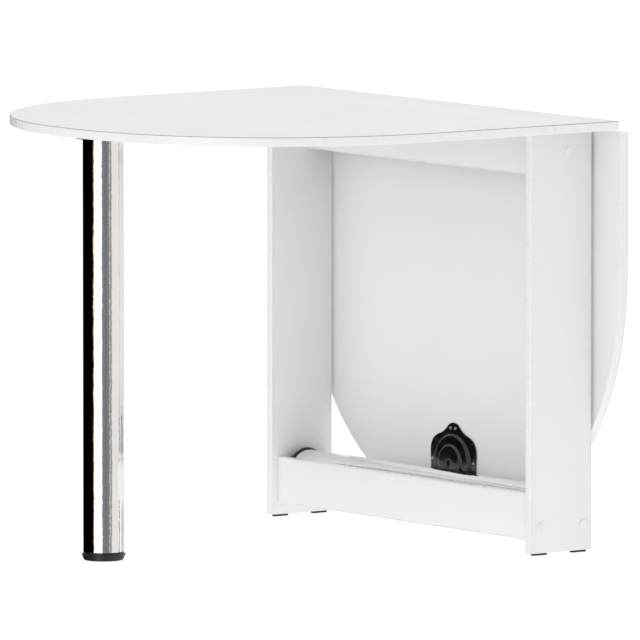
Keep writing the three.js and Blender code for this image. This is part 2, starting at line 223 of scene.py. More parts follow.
def enamel():
    """Gloss black stoving enamel on pressed steel: orange peel, dust and dull rubbed spots."""
    paint = Paint("black_enamel", IOR=1.5, Coat_Weight=0.7, Coat_Roughness=0.08)
    dust = paint.noise(0.0018, 4, 0.7)
    rub = paint.noise(0.02, 5, 0.6)
    black = paint.mixed(paint.spread(rub, 0, 1), rgb(0.004, 0.004, 0.0045), rgb(0.009, 0.0085, 0.008))
    colour = paint.mixed(paint.spread(dust, 0, 0.4, 0.7, 0.82), black, rgb(0.08, 0.075, 0.07))
    normal = paint.bump(paint.noise(0.0026, 3, 0.55), 0.00003)
    paint.drive("Base Color", colour).drive("Roughness", paint.spread(rub, 0.16, 0.3))
    paint.drive("Normal", normal)
    return paint.material


def moulded_black():
    """Satin black moulded plastic with a fine eroded grain and grey scuffs."""
    paint = Paint("black_moulding", IOR=1.5)
    grain = paint.noise(0.0009, 3, 0.6)
    scuff = paint.noise(0.007, 6, 0.7, paint.stretched(1.0, 1.0, 0.25))
    black = paint.mixed(paint.spread(grain, 0, 1), rgb(0.012, 0.012, 0.0125), rgb(0.019, 0.019, 0.019))
    colour = paint.mixed(paint.spread(scuff, 0, 0.6, 0.62, 0.75), black, rgb(0.06, 0.058, 0.056))
    paint.drive("Base Color", colour).drive("Roughness", paint.spread(scuff, 0.3, 0.46))
    paint.drive("Normal", paint.bump(grain, 0.000014, paint.bump(paint.noise(0.006, 2), 0.00004)))
    return paint.material


def zinc():
    """Bright zinc plate: drawn lines, a faint yellow and blue passivation bloom, dull patches."""
    paint = Paint("zinc_plate", Metallic=1.0)
    bloom = paint.noise(0.015, 3)
    drawn = paint.noise(0.0012, 4, 0.7, paint.stretched(0.06, 1.0, 1.0))
    colour = paint.mixed(paint.spread(bloom, 0, 1), rgb(0.66, 0.66, 0.63), rgb(0.68, 0.71, 0.76))
    paint.drive("Base Color", colour).drive("Roughness", paint.spread(paint.noise(0.006, 4), 0.22, 0.42))
    paint.drive("Normal", paint.bump(drawn, 0.00002))
    return paint.material


def pale_floor():
    """A lit white studio floor, bright enough to wash out, with a faint uneven tone."""
    paint = Paint("studio_floor", Roughness=0.9, Emission_Strength=0.72, Emission_Color=rgb(1, 1, 1))
    tone = paint.mixed(paint.spread(paint.noise(0.8, 3), 0, 1), rgb(0.34, 0.34, 0.34), rgb(0.36, 0.36, 0.36))
    paint.drive("Base Color", tone).drive("Normal", paint.bump(paint.noise(0.01, 3), 0.0001))
    return paint.material


MATERIALS = {
    "white_board": melamine(),
    "white_edge_band": edging_plastic(),
    "white_cap": cap_plastic(),
    "chrome_tube": chrome(),
    "black_pressed_steel": enamel(),
    "black_plastic": moulded_black(),
    "zinc_steel": zinc(),
}
# Painted shade: the grey put on the edging's top arris where it meets the board.
SEAM_SHADE_MATERIAL = painted_seam_shade()


# ---------------------------------------------------------------- meshes

def make_piece(name, verts, faces, slot, body, replaced=(), place=Matrix(), sharp=30, seam_shade_rows=()):
    """A mesh object from points and faces; the last argument is (first, last) rows of faces painted with the
    grey seam shade.
    """
    mesh = bpy.data.meshes.new(name)
    mesh.from_pydata([tuple(v) for v in verts], [], faces)
    mesh.materials.append(MATERIALS[slot])
    # The rows of faces listed here get the painted seam shade.
    if seam_shade_rows:
        mesh.materials.append(SEAM_SHADE_MATERIAL)
    for first, last in seam_shade_rows:
        for index in range(first, last):
            mesh.polygons[index].material_index = 1
    bm = bmesh.new()
    bm.from_mesh(mesh)
    bmesh.ops.recalc_face_normals(bm, faces=bm.faces)
    bm.to_mesh(mesh)
    bm.free()
    mesh.shade_smooth()
    mesh.set_sharp_from_angle(angle=math.radians(sharp))
    piece = bpy.data.objects.new(name, mesh)
    bpy.context.scene.collection.objects.link(piece)
    piece.matrix_world = place
    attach(piece, body)
    if replaced:
        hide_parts(*replaced)
    return piece


def loft(loops, ring=False, start_cap=True, end_cap=True):
    """Quads between neighbouring closed loops of the same count, with flat caps or joined as a ring."""
    count = len(loops[0])
    verts = [point for loop in loops for point in loop]
    faces = []
    pairs = list(zip(range(len(loops)), range(1, len(loops))))
    if ring:
        pairs.append((len(loops) - 1, 0))
    for a, b in pairs:
        for i in range(count):
            j = (i + 1) % count
            faces.append((a * count + i, a * count + j, b * count + j, b * count + i))
    if not ring and start_cap:
        faces.append(tuple(range(count)))
    if not ring and end_cap:
        faces.append(tuple(range((len(loops) - 1) * count, len(loops) * count)))
    return verts, faces


def circle(radius, height, sides):
    """A ring of points about Z."""
    turns = [2 * math.pi * i / sides for i in range(sides)]
    return [Vector((radius * math.cos(turn), radius * math.sin(turn), height)) for turn in turns]


def turned(profile, sides=ROUND, ring=False):
    """A lathe about Z from (radius, height) pairs; a pair on the axis ends in a fan."""
    loops = [circle(radius, height, sides) for radius, height in profile if radius > 0]
    fan_start = profile[0][0] <= 0
    fan_end = profile[-1][0] <= 0
    verts, faces = loft(loops, ring, not fan_start, not fan_end)
    for fan, height, base in (
        (fan_start, profile[0][1], 0),
        (fan_end, profile[-1][1], (len(loops) - 1) * sides),
    ):
        if fan and not ring:
            verts.append(Vector((0, 0, height)))
            tip = len(verts) - 1
            faces += [(base + i, base + (i + 1) % sides, tip) for i in range(sides)]
    return verts, faces


def join(parts):
    """Several (verts, faces) pairs as one."""
    verts = []
    faces = []
    for part_verts, part_faces in parts:
        offset = len(verts)
        verts += part_verts
        faces += [tuple(i + offset for i in face) for face in part_faces]
    return verts, faces


def moved(part, matrix):
    """A (verts, faces) pair in another place."""
    verts, faces = part
    return [matrix @ Vector(v) for v in verts], faces


def rounded_box(lo, hi, radius):
    """A box with all its edges rounded."""
    bm = bmesh.new()
    bmesh.ops.create_cube(bm, size=1)
    size = Vector(hi) - Vector(lo)
    middle = (Vector(hi) + Vector(lo)) / 2
    bmesh.ops.scale(bm, vec=size, verts=bm.verts)
    bmesh.ops.translate(bm, vec=middle, verts=bm.verts)
    bmesh.ops.bevel(bm, geom=bm.edges[:], offset=radius, segments=2, profile=0.5,
                    affect="EDGES", clamp_overlap=True)
    bm.verts.index_update()
    verts = [v.co.copy() for v in bm.verts]
    faces = [tuple(v.index for v in face.verts) for face in bm.faces]
    bm.free()
    return verts, faces


# ---------------------------------------------------------------- edge bands of the top

ARRIS = 1.3 * MM              # radius on the outer edges of the top's edge band
ARRIS_STEPS = 4


def band_section(bottom, top):
    """Section of an edge band as (depth from the outer face, height): closed, top arris last but one."""
    section = [(BAND, bottom)]
    for i in range(ARRIS_STEPS + 1):
        angle = math.pi / 2 * i / ARRIS_STEPS
        section.append((ARRIS * (1 - math.sin(angle)), bottom + ARRIS * (1 - math.cos(angle))))
    for i in range(ARRIS_STEPS + 1):
        angle = math.pi / 2 * i / ARRIS_STEPS
        section.append((ARRIS * (1 - math.cos(angle)), top - ARRIS * (1 - math.sin(angle))))
    section.append((BAND, top))
    return section


def arris_rows(section, start):
    """First face of the top arris, and the one past its last, where a row of faces begins at start."""
    return start + ARRIS_STEPS + 2, start + len(section) - 2


# ---------------------------------------------------------------- boards of the base

PANEL_ROUND = 2.4 * MM        # soft front and rear edges of the side panels
RAIL_ROUND = 1.6 * MM
CRISP = 0.25 * MM             # arris of a plain sawn and faced edge


def add_board(node, axis, ends, radius):
    """A faced board with a thick edging on the given ends of one axis: 'low', 'high' or both."""
    lo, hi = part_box(node)
    core_lo, core_hi = lo.copy(), hi.copy()
    for end in ends:
        edge_lo, edge_hi = lo.copy(), hi.copy()
        if end == "low":
            core_lo[axis] += radius + SEAM
            edge_hi[axis] = lo[axis] + radius
        else:
            core_hi[axis] -= radius + SEAM
            edge_lo[axis] = hi[axis] - radius
        verts, faces = edging_strip(edge_lo, edge_hi, axis, end, radius)
        make_piece(f"{node}_edging_{end}", verts, faces, "white_edge_band", "base")
    verts, faces = rounded_box(core_lo, core_hi, CRISP)
    make_piece(f"{node}_core", verts, faces, "white_board", "base", [node])


def edging_strip(lo, hi, axis, end, radius):
    """A strip over one edge of a board, with its two long outer edges rounded."""
    size = hi - lo
    thin = min((i for i in range(3) if i != axis), key=lambda i: size[i])
    long = 3 - axis - thin
    outer = 1 if end == "high" else -1
    steps = 6
    turns = [math.pi / 2 * i / steps for i in range(1, steps + 1)]
    curve = [(radius * (1 - math.cos(turn)), radius * math.sin(turn)) for turn in turns]
    section = [(lo[thin], 0.0)] + [(lo[thin] + across, out) for across, out in curve]
    section += [(hi[thin] - across, out) for across, out in reversed(curve)] + [(hi[thin], 0.0)]
    inner = lo[axis] if outer > 0 else hi[axis]
    loops = []
    for along in (lo[long], hi[long]):
        loop = []
        for across, out in section:
            point = Vector((0, 0, 0))
            point[thin] = across
            point[axis] = inner + outer * out
            point[long] = along
            loop.append(point)
        loops.append(loop)
    return loft(loops)


def build_base_boards():
    """Side panels, rails and tray shelf; the upper rail's top edge is bare, against the strip."""
    for side in SIDES:
        add_board(f"side_panel_{side}", 1, ("low", "high"), PANEL_ROUND)
    add_board("lower_front_rail", 2, ("low", "high"), RAIL_ROUND)
    add_board("lower_rear_rail", 2, ("low", "high"), RAIL_ROUND)
    add_board("upper_rail", 2, ("low",), RAIL_ROUND)
    lo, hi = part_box("tray_shelf")
    verts, faces = rounded_box(lo, hi, CRISP)
    make_piece("tray_shelf_board", verts, faces, "white_board", "base", ["tray_shelf"])


def build_top_strip():
    """The fixed strip of the top, with an edge band on each end."""
    lo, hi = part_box("top_strip")
    verts, faces = rounded_box(lo, hi, CRISP)
    make_piece("top_strip_board", verts, faces, "white_board", "base", ["top_strip"])
    for side, outer in SIDES.items():
        node = f"top_strip_band_{side}"
        lo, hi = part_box(node)
        section = band_section(lo.z, hi.z)
        edge = hi.x if outer > 0 else lo.x
        loops = [[Vector((edge - outer * depth, y, z)) for depth, z in section] for y in (lo.y, hi.y)]
        verts, faces = loft(loops)
        # The band's top arris is painted grey as shade along the seam.
        make_piece(f"{node}_strip", verts, faces, "white_edge_band", "base", [node],
                   seam_shade_rows=[arris_rows(section, 0)])


# ---------------------------------------------------------------- leaves

def leaf_outline(half, rounded, inset):
    """Outline of a leaf in its own frame, x along the hinge and y away from it, moved in by inset."""
    points = [(half - inset, LEAF_START)]
    bend = 2 / LEAF_POWER
    for i in range(LEAF_STEPS + 1):
        angle = math.pi * i / LEAF_STEPS
        c = math.cos(angle)
        s = math.sin(angle)
        x = half * math.copysign(abs(c) ** bend, c)
        y = rounded * abs(s) ** bend
        nx = math.copysign(abs(x / half) ** (LEAF_POWER - 1), x) / half
        ny = (y / rounded) ** (LEAF_POWER - 1) / rounded
        length = math.hypot(nx, ny)
        points.append((x - inset * nx / length, LEAF_STRAIGHT + y - inset * ny / length))
    points.append((-half + inset, LEAF_START))
    return points


def leaf_frame(name):
    """The leaf's own frame: origin on its hinge axis, x along it, y outwards, z up when raised."""
    joint = next(j for j in frame["joints"] if j["name"] == f"{name}_fold")
    turn = Matrix.Rotation(math.pi, 4, "Z") if name == "leaf_a" else Matrix.Rotation(-math.pi / 2, 4, "X")
    return Matrix.Translation(Vector(joint["pos_m"])) @ turn


def build_leaf(name):
    """A leaf's board, and the band round its edge, its top arris painted grey as shade."""
    place = leaf_frame(name)
    lo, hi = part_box(f"{name}_edge_band")
    half = (hi.x - lo.x) / 2
    reach = (hi.y - lo.y) if name == "leaf_a" else (hi.z - lo.z)
    rounded = reach + LEAF_START - LEAF_STRAIGHT
    board = min(hi - lo)
    bottom = HINGE_DROP
    top = HINGE_DROP + board

    rim = [(CRISP, bottom), (0, bottom + CRISP), (0, top - CRISP), (CRISP, top)]
    loops = []
    for inset, z in rim:
        outline = leaf_outline(half, rounded, BAND + SEAM + inset)
        loops.append([Vector((x, y, z)) for x, y in outline])
    verts, faces = loft(loops)
    make_piece(f"{name}_panel", verts, faces, "white_board", name, [f"{name}_board"], place)

    section = band_section(bottom, top)
    outlines = [leaf_outline(half, rounded, depth) for depth, _ in section]
    loops = []
    for points in zip(*outlines):
        loops.append([Vector((*point, z)) for point, (_, z) in zip(points, section)])
    verts, faces = loft(loops)
    # Each row's top arris is painted grey as shade along the seam.
    rows = [arris_rows(section, row * len(section)) for row in range(len(loops) - 1)]
    replaced = [f"{name}_edge_band"]
    make_piece(f"{name}_band", verts, faces, "white_edge_band", name, replaced, place, seam_shade_rows=rows)


# ---------------------------------------------------------------- leg plates

# The leg plate in millimetres about the leg's axis: right half of its bell from the peak, then its
# round ring, boss and hole.
BELL = [
    (0, -70.5), (12, -67.5), (22, -59), (33, -52), (47, -47), (58, -40), (65, -28), (66, -15), (65, 2),
    (64, 24), (57, 44), (38, 56), (0, 60),
]
RIDGE_RADIUS = 49.5
BOSS_RADIUS = 31.8
LEG_HOLE = 6
PLATE_ANGLES = 256
PLATE_SCREWS = {
    "peak_left": (-7, -61), "peak_right": (7, -61), "side_left": (-59, -4), "side_right": (59, -4),
}
PLATE_SCREW_SEAT = -2.5

# Screws as (head radius, shank radius, head height, length).
PLATE_SCREW = (2.7 * MM, 1.7 * MM, 1.7 * MM, 10 * MM)
ANGLE_SCREW = (3.6 * MM, 1.7 * MM, 2 * MM, 1 * MM)


def bell_outline():
    """The whole bell, through its points with smooth curves."""
    left = [(-x, y) for x, y in reversed(BELL[1:-1])]
    return smooth_loop(BELL + left, 8)


def smooth_loop(points, steps):
    """A closed centripetal curve through the points."""
    count = len(points)
    result = []
    for i in range(count):
        p0, p1, p2, p3 = (Vector(points[(i + k - 1) % count]) for k in range(4))
        t1 = math.sqrt((p1 - p0).length)
        t2 = t1 + math.sqrt((p2 - p1).length)
        t3 = t2 + math.sqrt((p3 - p2).length)
        for step in range(steps):
            t = t1 + (t2 - t1) * step / steps
            a1 = p0.lerp(p1, t / t1)
            a2 = p1.lerp(p2, (t - t1) / (t2 - t1))
            a3 = p2.lerp(p3, (t - t2) / (t3 - t2))
            b1 = a1.lerp(a2, t / t2)
            b2 = a2.lerp(a3, (t - t1) / (t3 - t1))
            result.append(b1.lerp(b2, (t - t1) / (t2 - t1)))
    return result


def ray_reach(outline, angle):
    """Distance from the leg's axis to the outline in one direction."""
    direction = Vector((math.cos(angle), math.sin(angle)))
    best = 0
    for a, b in zip(outline, outline[1:] + outline[:1]):
        side = b - a
        cross = direction.x * side.y - direction.y * side.x
        if abs(cross) < 1e-12:
            continue
        along = (a.x * side.y - a.y * side.x) / cross
        share = (a.x * direction.y - a.y * direction.x) / cross
        if along > best and -1e-9 <= share <= 1 + 1e-9:
            best = along
    return best


# Rings of the pressed plate as (outline, distance outside it, height), from its hole out over the
# face, round the rim and back under. Heights are from the leaf's underside, in millimetres.
FACE_RINGS = [
    ("hole", 0, -11.3), ("hole", 0, -12.2), ("hole", 0.3, -12.8), ("hole", 1.0, -13.0), ("hole", 5, -13.0),
    ("boss", -3.4, -13.0), ("boss", -2.3, -12.9), ("boss", -1.4, -12.5), ("boss", -0.8, -11.8),
    ("boss", -0.3, -10.6), ("boss", 0.2, -9.3), ("boss", 0.9, -8.5), ("boss", 1.8, -8.1), ("boss", 2.8, -8.0),
    ("ridge", -3.4, -8.0), ("ridge", -2.3, -7.9), ("ridge", -1.4, -7.5), ("ridge", -0.8, -6.8),
    ("ridge", -0.3, -5.4), ("ridge", 0.2, -3.8), ("ridge", 0.9, -2.9), ("ridge", 1.8, -2.45),
    ("ridge", 2.8, -2.3), ("bell", -2.0, -2.3), ("bell", -0.8, -2.25), ("bell", -0.2, -2.0),
    ("bell", 0, -1.5), ("bell", 0, -0.5), ("bell", -0.3, -0.3),
]
BACK_RINGS = [
    ("ridge", 1.2, -0.3), ("ridge", -0.6, -0.5), ("ridge", -1.6, -1.2), ("ridge", -2.1, -3.0),
    ("ridge", -2.7, -5.2), ("ridge", -4.2, -6.0), ("boss", 1.0, -6.0), ("boss", -1.2, -6.3),
    ("boss", -2.1, -7.4), ("boss", -2.6, -9.4), ("boss", -3.6, -10.7), ("boss", -5.2, -11.0),
    ("hole", 0, -11.0),
]


def leg_plate_mesh():
    """The pressed plate, from its rings."""
    bell = bell_outline()
    angles = [2 * math.pi * i / PLATE_ANGLES for i in range(PLATE_ANGLES)]
    reach = {"bell": [ray_reach(bell, angle) for angle in angles]}
    for name, radius in (("ridge", RIDGE_RADIUS), ("boss", BOSS_RADIUS), ("hole", LEG_HOLE)):
        reach[name] = [radius] * PLATE_ANGLES
    loops = []
    for name, out, height in FACE_RINGS + BACK_RINGS:
        loops.append([
            MM * Vector(((distance + out) * math.cos(a), (distance + out) * math.sin(a), height))
            for distance, a in zip(reach[name], angles)
        ])
    return loft(loops, ring=True)


def fitting_frame(name):
    """Frame of a leaf's leg plate: origin on the leg's axis at the leaf's underside."""
    place = leaf_frame(name)
    lo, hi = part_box(f"{name}_leg_plate")
    middle = place.inverted() @ ((lo + hi) / 2)
    peak = -BELL[0][1] * MM
    corners = [place.inverted() @ corner for corner in (lo, hi)]
    nearest = min(corner.y for corner in corners)
    return place @ Matrix.Translation((middle.x, nearest + peak, HINGE_DROP))


def build_leg_plate(name):
    """The plate, and its four screws with each cross turned its own way."""
    verts, faces = leg_plate_mesh()
    place = fitting_frame(name)
    make_piece(f"{name}_plate", verts, faces, "black_pressed_steel", name, [f"{name}_leg_plate"], place, 60)
    for where, (x, y) in PLATE_SCREWS.items():
        verts, faces = pan_screw(*PLATE_SCREW)
        flip = Matrix.Rotation(math.pi, 4, "X") @ Matrix.Rotation(math.radians(17 + 31 * x), 4, "Z")
        at = place @ Matrix.Translation((x * MM, y * MM, PLATE_SCREW_SEAT * MM)) @ flip
        make_piece(f"{name}_screw_{where}", verts, faces, "zinc_steel", name,
                   [f"{name}_plate_screw_{where}"], at, 35)


# ---------------------------------------------------------------- screws, caps and hinges

def pan_screw(head, shank, height, length):
    """A pan-head screw along Z, its head above z = 0, with a cross recess."""
    sides = 64
    rings = 22
    cross_half = head * 0.14
    cross_reach = head * 0.62
    depth = height * 0.6
    loops = []
    for i in range(rings, 0, -1):
        radius = head * 0.97 * i / rings
        dome = height * (0.62 + 0.38 * math.sqrt(max(0.0, 1 - (radius / head) ** 2)))
        loop = []
        for k in range(sides):
            angle = 2 * math.pi * k / sides
            x = radius * math.cos(angle)
            y = radius * math.sin(angle)
            sunk = max(
                recess_depth(x, y, cross_half, cross_reach),
                recess_depth(y, x, cross_half, cross_reach),
            )
            loop.append(Vector((x, y, dome - depth * sunk)))
        loops.append(loop)
    skirt = [(shank * 0.5, -length * 0.9), (shank, -length * 0.7), (shank, 0), (head * 0.9, 0),
             (head, height * 0.15), (head, height * 0.55)]
    skirt_loops = [circle(radius, z, sides) for radius, z in skirt]
    verts, faces = loft(skirt_loops + loops, start_cap=False, end_cap=False)
    verts.append(Vector((0, 0, -length)))
    verts.append(Vector((0, 0, height - depth)))
    last = (len(skirt_loops) + len(loops) - 1) * sides
    for k in range(sides):
        j = (k + 1) % sides
        faces.append((k, j, len(verts) - 2))
        faces.append((last + k, last + j, len(verts) - 1))
    return verts, faces


def recess_depth(along, across, half, reach):
    """How deep one bar of a cross recess is at a point, 0 to 1, with sloping walls."""
    wall = half * 0.7
    side = min(1.0, max(0.0, (half + wall - abs(across)) / wall))
    end = min(1.0, max(0.0, (reach + wall - abs(along)) / wall))
    return min(side, end)


def flat_screw_heads(points, radius, place, name, body):
    """A row of countersunk heads, standing just proud of a steel plate."""
    parts = []
    for index, point in enumerate(points):
        screw = pan_screw(radius, radius * 0.45, radius * 0.28, radius * 0.3)
        parts.append(moved(screw, Matrix.Translation(point) @ Matrix.Rotation(0.9 * index, 4, "Z")))
    verts, faces = join(parts)
    make_piece(name, verts, faces, "zinc_steel", body, place=place, sharp=35)


# Half section of a screw cap as (radius, height) in millimetres, from the middle of its dish.
CAP_PROFILE = [
    (0, 0.95), (2.2, 0.95), (3.4, 1.05), (4.3, 1.35), (4.9, 1.62), (5.4, 1.7), (5.9, 1.6), (6.4, 1.3),
    (6.9, 0.95), (7.3, 0.6), (7.5, 0.2), (7.4, 0), (0, 0),
]


def build_caps():
    """Press-on screw caps: a flat rim, a raised ring and a shallow dish inside it."""
    for side, sign in SIDES.items():
        turn = Matrix.Rotation(sign * math.pi / 2, 4, "Y")
        for where in ("lower_front", "lower_rear", "upper"):
            node = f"screw_cap_{side}_{where}"
            lo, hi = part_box(node)
            middle = (lo + hi) / 2
            inner = lo.x if sign > 0 else hi.x
            verts, faces = turned([(r * MM, h * MM) for r, h in CAP_PROFILE], 64)
            place = Matrix.Translation((inner, middle.y, middle.z)) @ turn
            make_piece(f"{node}_disc", verts, faces, "white_cap", "base", [node], place, 50)


HINGE_SCREW_SPACING = 76 * MM
HINGE_SCREW_ROWS = (11 * MM, 16 * MM)   # distances from the pin, used in turn
HINGE_SCREW_RADIUS = 3.4 * MM
HINGE_PLATE_FACE = 2.5 * MM   # lower face of a hinge's plates, above its axis


def build_hinge_screws():
    """Countersunk screws in both plates of each long hinge, staggered along them."""
    down = Matrix.Rotation(math.pi, 4, "X")
    seat = Matrix.Translation((0, 0, HINGE_PLATE_FACE)) @ down
    for name in LEAVES:
        lo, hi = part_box(f"hinge_{name}_pin")
        count = int((hi.x - lo.x) / HINGE_SCREW_SPACING)
        points = []
        for i in range(count):
            x = (i - (count - 1) / 2) * HINGE_SCREW_SPACING
            points.append(down @ Vector((x, HINGE_SCREW_ROWS[i % 2], 0)))
        moving = leaf_frame(name)
        turn = Matrix.Rotation(math.pi, 4, "Z") if name == "leaf_b" else Matrix()
        fixed = Matrix.Translation(moving.translation) @ turn
        flat_screw_heads(points, HINGE_SCREW_RADIUS, moving @ seat, f"hinge_{name}_moving_screws", name)
        flat_screw_heads(points, HINGE_SCREW_RADIUS, fixed @ seat, f"hinge_{name}_fixed_screws", "base")


ANGLE_SHEET = 2 * MM
ANGLE_BEND = 3.2 * MM         # outer radius of the rolled bend
ANGLE_RIM = 0.3 * MM
ANGLE_SCREW_SHIFT = 9 * MM    # from the middle of an angle to its screws, along it
ANGLE_SCREW_REACH = 0.62      # how far out on a wing they stand, as a share of it


def bend_arc(radius, turns):
    """Points on one side of an angle's rolled bend."""
    return [(ANGLE_BEND - radius * math.sin(turn), radius * math.cos(turn) - ANGLE_BEND) for turn in turns]


def angle_section(reach):
    """Section of a corner angle: distances from the panel, and heights from the strip's underside."""
    turns = [math.pi / 2 * i / 6 for i in range(7)]
    inside = bend_arc(ANGLE_BEND - ANGLE_SHEET, turns)
    outside = bend_arc(ANGLE_BEND, turns[::-1])
    return [(reach, 0), (reach, -ANGLE_SHEET), *inside, (ANGLE_SHEET, -reach), (0, -reach), *outside]


def angle_screws(wall, sign, top, reach, y):
    """Two pan-head screws in each wing, up into the strip and sideways into the panel."""
    screw = pan_screw(*ANGLE_SCREW)
    upwards = Matrix.Rotation(math.pi, 4, "X")
    sideways = Matrix.Rotation(-sign * math.pi / 2, 4, "Y")
    along = reach * ANGLE_SCREW_REACH
    heads = []
    for inwards, drop, turn in ((along, ANGLE_SHEET, upwards), (ANGLE_SHEET, along, sideways)):
        for shift in (-ANGLE_SCREW_SHIFT, ANGLE_SCREW_SHIFT):
            spot = Vector((wall - sign * inwards, y + shift, top - drop))
            heads.append(moved(screw, Matrix.Translation(spot) @ turn))
    return join(heads)


def build_corner_angles():
    """Steel angles with a rolled bend, replacing the sharp CAD ones, and their screws."""
    for side, sign in SIDES.items():
        node = f"corner_angle_{side}"
        lo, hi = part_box(node)
        reach = hi.x - lo.x
        wall = hi.x if sign > 0 else lo.x
        section = angle_section(reach)
        loops = []
        for y in (lo.y, lo.y + ANGLE_RIM, hi.y - ANGLE_RIM, hi.y):
            loops.append([Vector((wall - sign * x, y, hi.z + z)) for x, z in section])
        verts, faces = loft(loops)
        make_piece(f"{node}_plate", verts, faces, "zinc_steel", "base", [node])
        verts, faces = angle_screws(wall, sign, hi.z, reach, (lo.y + hi.y) / 2)
        make_piece(f"{node}_screws", verts, faces, "zinc_steel", "base", sharp=35)


# ---------------------------------------------------------------- legs and glides

TUBE_BORE = TUBE_RADIUS - 1.2 * MM
PLUG_RADIUS = TUBE_BORE - 0.3 * MM
STUD_RADIUS = 5.1 * MM
STUD_HOLE = 5.4 * MM
THREAD_PITCH = 1.5 * MM
FOOT_FACE = 33 * MM           # radius of a foot's flat end
FOOT_WIDEST = 10 * MM         # height of its widest part
FOOT_TOP = 13.2 * MM          # where its threaded rod starts, just inside the moulding

# Half section of a foot's moulding as (radius, height) in millimetres, from the floor up.
FOOT_PROFILE = [
    (0, 0.6), (29.5, 0.6), (30.2, 0), (32.2, 0), (33.3, 0.35), (34.0, 1.1), (34.6, 2.4), (36.2, 6.2),
    (37.5, 9.4), (37.95, 10.0), (37.8, 10.55), (37.2, 10.9), (36.0, 11.0), (35.2, 11.1), (34.9, 11.5),
    (34.9, 13.6), (34.6, 14.05), (34.0, 14.2), (8.0, 14.2), (8.0, 14.0), (5.1, 14.0),
]


def leg_frame(name):
    """A leg's own frame: origin at its foot, z along the tube towards its stud."""
    lo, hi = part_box(f"{name}_foot")
    middle = (lo + hi) / 2
    if name == "leg_a":
        return Matrix.Translation((middle.x, middle.y, lo.z))
    slide = next(j for j in frame["joints"] if j["name"] == "foot_b_adjust")
    lean = slide["axis"][2]
    # Leg B leans a little, so the box's left face touches the rim of the foot's flat end, and the
    # middle of the box is level with the foot's widest part.
    origin = Vector((lo.x + FOOT_FACE * lean, middle.y, middle.z + FOOT_WIDEST * lean))
    return Matrix.Translation(origin) @ Matrix.Rotation(math.pi / 2 + math.asin(lean), 4, "Y")


def threaded_rod(radius, start, end, pitch, plain=0.0):
    """A rod along Z with a helical thread above `plain`, chamfered at both ends."""
    sides = 40
    depth = 0.55 * pitch
    chamfer = 0.8 * MM
    per_turn = 6
    rows = int(math.ceil((end - start) / pitch * per_turn))
    loops = []
    for row in range(rows + 1):
        z = start + (end - start) * row / rows
        edge = min(z - start, end - z)
        limit = radius - max(0.0, chamfer - edge)
        loop = []
        for k in range(sides):
            turn = (z / pitch - k / sides) % 1
            groove = depth * abs(2 * turn - 1) if z > start + plain else 0.0
            r = min(limit, radius - groove)
            around = 2 * math.pi * k / sides
            loop.append(Vector((r * math.cos(around), r * math.sin(around), z)))
        loops.append(loop)
    return loft(loops)


def along_leg(piece):
    """Start and end of a piece along its leg; both legs are alike, and leg A stands upright."""
    lo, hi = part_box(f"leg_a_{piece}")
    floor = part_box("leg_a_foot")[0].z
    return lo.z - floor, hi.z - floor


def tube_mesh():
    """The tube, with a small lip broken off its two outer rims."""
    start, end = along_leg("tube")
    lip = 0.35 * MM
    collar = 3 * MM
    profile = [
        (TUBE_BORE, start), (TUBE_RADIUS - lip, start), (TUBE_RADIUS, start + lip),
        (TUBE_RADIUS, start + collar), (TUBE_RADIUS, end - collar), (TUBE_RADIUS, end - lip),
        (TUBE_RADIUS - lip, end), (TUBE_BORE, end),
    ]
    return turned(profile, 160, ring=True)


def head_plug_mesh():
    """The plug at the head, with a shallow groove round its end face."""
    low, high = along_leg("head_plug")
    sunk = high - 0.5 * MM
    profile = [
        (STUD_HOLE, low), (PLUG_RADIUS - 1 * MM, low), (PLUG_RADIUS, low + 1 * MM),
        (PLUG_RADIUS, high - 1.6 * MM), (PLUG_RADIUS - 0.5 * MM, sunk), (PLUG_RADIUS - 1.6 * MM, high),
        (24 * MM, high), (23.4 * MM, sunk), (11 * MM, sunk), (10.4 * MM, high),
        (STUD_HOLE + 0.4 * MM, high), (STUD_HOLE, high - 0.4 * MM),
    ]
    return turned(profile, ring=True)


def stud_mesh():
    """The threaded stud at the head."""
    low, high = along_leg("stud")
    return threaded_rod(STUD_RADIUS, low, high, THREAD_PITCH)


def foot_bush_mesh():
    """The bush at the tube's other end, that the foot screws into."""
    low, high = along_leg("foot_bush")
    profile = [
        (STUD_HOLE, low), (PLUG_RADIUS - 0.4 * MM, low), (PLUG_RADIUS, low + 0.4 * MM),
        (PLUG_RADIUS, high - 1 * MM), (PLUG_RADIUS - 1 * MM, high), (STUD_HOLE, high),
    ]
    return turned(profile, ring=True)


def foot_mesh():
    """The moulded foot and the threaded rod that screws into the bush."""
    low, high = along_leg("foot")
    moulding = turned([(r * MM, h * MM) for r, h in FOOT_PROFILE])
    rod = threaded_rod(STUD_RADIUS, low + FOOT_TOP, high, THREAD_PITCH, THREAD_PITCH)
    return join([moulding, rod])


def build_leg(name):
    """A leg's five pieces, all made in its own frame."""
    place = leg_frame(name)
    foot_body = name.replace("leg", "foot")
    pieces = [
        ("chrome_tube", "tube", tube_mesh(), "chrome_tube", name, 40),
        ("plug", "head_plug", head_plug_mesh(), "black_plastic", name, 30),
        ("threaded_stud", "stud", stud_mesh(), "zinc_steel", name, 30),
        ("bush", "foot_bush", foot_bush_mesh(), "black_plastic", name, 30),
        ("screw_foot", "foot", foot_mesh(), "black_plastic", foot_body, 30),
    ]
    for piece, node, (verts, faces), slot, body, sharp in pieces:
        make_piece(f"{name}_{piece}", verts, faces, slot, body, [f"{name}_{node}"], place, sharp)


GLIDE_CORNER = 3 * MM

# Side of a glide as (inset, height) in millimetres, from the floor up.
GLIDE_RIM = [(1.6, 0), (0.7, 0.25), (0.15, 0.9), (0, 1.6), (0, 3.2), (0.3, 3.7)]


